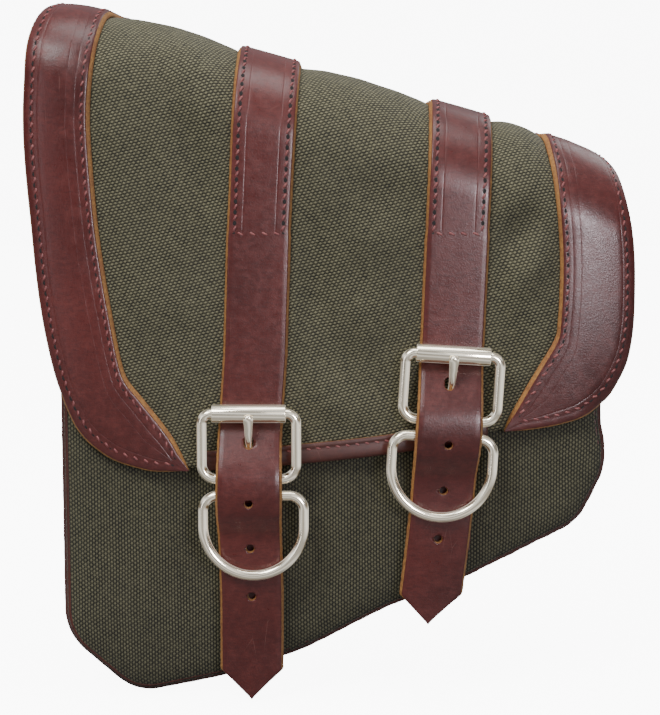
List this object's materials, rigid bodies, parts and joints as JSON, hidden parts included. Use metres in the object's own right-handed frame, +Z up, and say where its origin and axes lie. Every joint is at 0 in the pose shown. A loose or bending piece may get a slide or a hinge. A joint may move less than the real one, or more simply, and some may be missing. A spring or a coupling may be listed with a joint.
{
  "type": "motorcycle saddlebag",
  "caption": "Canvas swing-arm saddlebag with a leather-trimmed flap, buckled closing straps held by D-rings, and belt-style mounting straps on its back.",
  "frame": {"origin": "on the axis of the frame tube held by the upper mounting straps, midway between them", "axes": "+Z up, -Y the bag's front, which faces away from the motorcycle, +X towards the bag's low, short end"},
  "size_m": [0.3058, 0.17, 0.3579],
  "materials": {
    "canvas": "heavy plain-weave waxed canvas, olive grey",
    "leather": "smooth oiled bridle leather, reddish brown, undyed tan edges",
    "leather_dark": "thin smooth leather, dark reddish brown",
    "nickel": "polished nickel plate",
    "board": "black stiffening board",
    "thread": "waxed thread, reddish brown"
  },
  "bodies": {
    "bag": {"back_panel": "leather_dark", "back_board": "board", "gusset": "canvas", "front_panel": "canvas", "front_binding": "leather_dark", "back_binding": "leather_dark", "mouth_facing": "leather_dark", "hinge_strip": "canvas", "chape_left": "leather", "chape_right": "leather", "keeper_upper_left": "leather", "keeper_upper_right": "leather", "keeper_lower": "leather", "keeper_rivets": "nickel", "mount_strap_upper_left": "leather", "mount_strap_upper_right": "leather", "mount_strap_lower": "leather", "mount_buckle_upper_left": "nickel", "mount_buckle_upper_right": "nickel", "mount_buckle_lower": "nickel"},
    "flap": {"flap_canvas": "canvas", "flap_trim_left": "leather", "flap_trim_right": "leather", "flap_edge_binding": "leather_dark", "flap_strap_left": "leather", "flap_strap_right": "leather"},
    "strap_end_left": {"strap_tongue_left": "leather"},
    "strap_end_right": {"strap_tongue_right": "leather"},
    "buckle_left": {"buckle_frame_left": "nickel"},
    "buckle_right": {"buckle_frame_right": "nickel"},
    "roller_left": {"buckle_roller_left": "nickel"},
    "roller_right": {"buckle_roller_right": "nickel"},
    "prong_left": {"buckle_prong_left": "nickel"},
    "prong_right": {"buckle_prong_right": "nickel"},
    "ring_left": {"d_ring_left": "nickel"},
    "ring_right": {"d_ring_right": "nickel"},
    "mount_prong_upper_left": {"mount_prong_upper_left": "nickel"},
    "mount_prong_upper_right": {"mount_prong_upper_right": "nickel"},
    "mount_prong_lower": {"mount_prong_lower": "nickel"}
  },
  "joints": [
    {"name": "flap_hinge", "type": "hinge", "parent": "bag", "child": "flap", "pos_m": [0, -0.0224, 0.0623], "axis": [-0.9636, 0, 0.2672], "range_deg": [0, 150], "deforming": ["flap_canvas", "flap_edge_binding", "strap_tongue_left", "strap_tongue_right"]},
    {"name": "strap_left_lift", "type": "hinge", "parent": "flap", "child": "strap_end_left", "pos_m": [-0.03796, -0.1263, -0.01723], "axis": [-0.9998, 0, 0.0209], "range_deg": [0, 75], "deforming": ["strap_tongue_left"]},
    {"name": "buckle_left_swing", "type": "hinge", "parent": "bag", "child": "buckle_left", "pos_m": [-0.0405, -0.1331, -0.1384], "axis": [1, 0, 0], "range_deg": [0, 45]},
    {"name": "roller_left_spin", "type": "hinge", "parent": "buckle_left", "child": "roller_left", "pos_m": [-0.0405, -0.1331, -0.1054], "axis": [1, 0, 0], "continuous": true},
    {"name": "prong_left_swing", "type": "hinge", "parent": "buckle_left", "child": "prong_left", "pos_m": [-0.0405, -0.1331, -0.1384], "axis": [1, 0, 0], "range_deg": [0, 80]},
    {"name": "ring_left_swing", "type": "hinge", "parent": "bag", "child": "ring_left", "pos_m": [-0.0405, -0.1331, -0.1469], "axis": [-1, 0, 0], "range_deg": [0, 100]},
    {"name": "strap_right_lift", "type": "hinge", "parent": "flap", "child": "strap_end_right", "pos_m": [0.06473, -0.1263, -0.01736], "axis": [-0.9982, 0, 0.0593], "range_deg": [0, 75], "deforming": ["strap_tongue_right"]},
    {"name": "buckle_right_swing", "type": "hinge", "parent": "bag", "child": "buckle_right", "pos_m": [0.0593, -0.1331, -0.1088], "axis": [0.9982, 0, -0.0593], "range_deg": [0, 45]},
    {"name": "roller_right_spin", "type": "hinge", "parent": "buckle_right", "child": "roller_right", "pos_m": [0.06126, -0.1331, -0.07586], "axis": [0.9982, 0, -0.0593], "continuous": true},
    {"name": "prong_right_swing", "type": "hinge", "parent": "buckle_right", "child": "prong_right", "pos_m": [0.0593, -0.1331, -0.1088], "axis": [0.9982, 0, -0.0593], "range_deg": [0, 80]},
    {"name": "ring_right_swing", "type": "hinge", "parent": "bag", "child": "ring_right", "pos_m": [0.0588, -0.1331, -0.11729], "axis": [-0.9982, 0, 0.0593], "range_deg": [0, 100]},
    {"name": "mount_prong_upper_left_swing", "type": "hinge", "parent": "bag", "child": "mount_prong_upper_left", "pos_m": [-0.07767, 0.0206, 0.01116], "axis": [-0.9636, 0, 0.2672], "range_deg": [0, 50]},
    {"name": "mount_prong_upper_right_swing", "type": "hinge", "parent": "bag", "child": "mount_prong_upper_right", "pos_m": [0.07233, 0.0206, -0.03044], "axis": [-0.9636, 0, 0.2672], "range_deg": [0, 50]},
    {"name": "mount_prong_lower_swing", "type": "hinge", "parent": "bag", "child": "mount_prong_lower", "pos_m": [-0.03409, 0.0206, -0.1924], "axis": [-0.9205, 0, -0.3907], "range_deg": [0, 50]}
  ]
}
